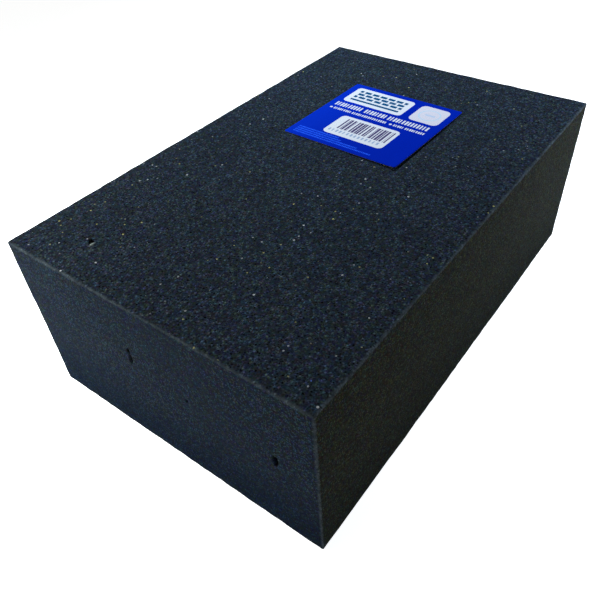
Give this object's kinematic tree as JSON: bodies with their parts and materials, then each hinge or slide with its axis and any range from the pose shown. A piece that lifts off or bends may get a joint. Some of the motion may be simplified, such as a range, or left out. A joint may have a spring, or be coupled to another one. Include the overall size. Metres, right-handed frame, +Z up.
{
  "type": "foam sponge block",
  "caption": "Rectangular dark grey open-cell foam block with sharp cut edges and a printed self-adhesive label on top, for wiping, soaking and smoothing by hand.",
  "frame": {"origin": "centre of the foam block's bottom face, on the surface that it rests on", "axes": "+X along the block's long side, towards the end that the label is nearer; +Y across the block's width; +Z up, out of the labelled face"},
  "size_m": [0.17, 0.11, 0.0602],
  "materials": {
    "foam": "matte open-cell polyurethane foam, dark slate grey, freshly cut",
    "adhesive": "clear tacky acrylic film",
    "label_print": "satin coated paper, printed deep blue with plain white panels"
  },
  "bodies": {
    "root": {"foam_block": "foam", "label_adhesive": "adhesive", "label": "label_print"}
  },
  "joints": []
}
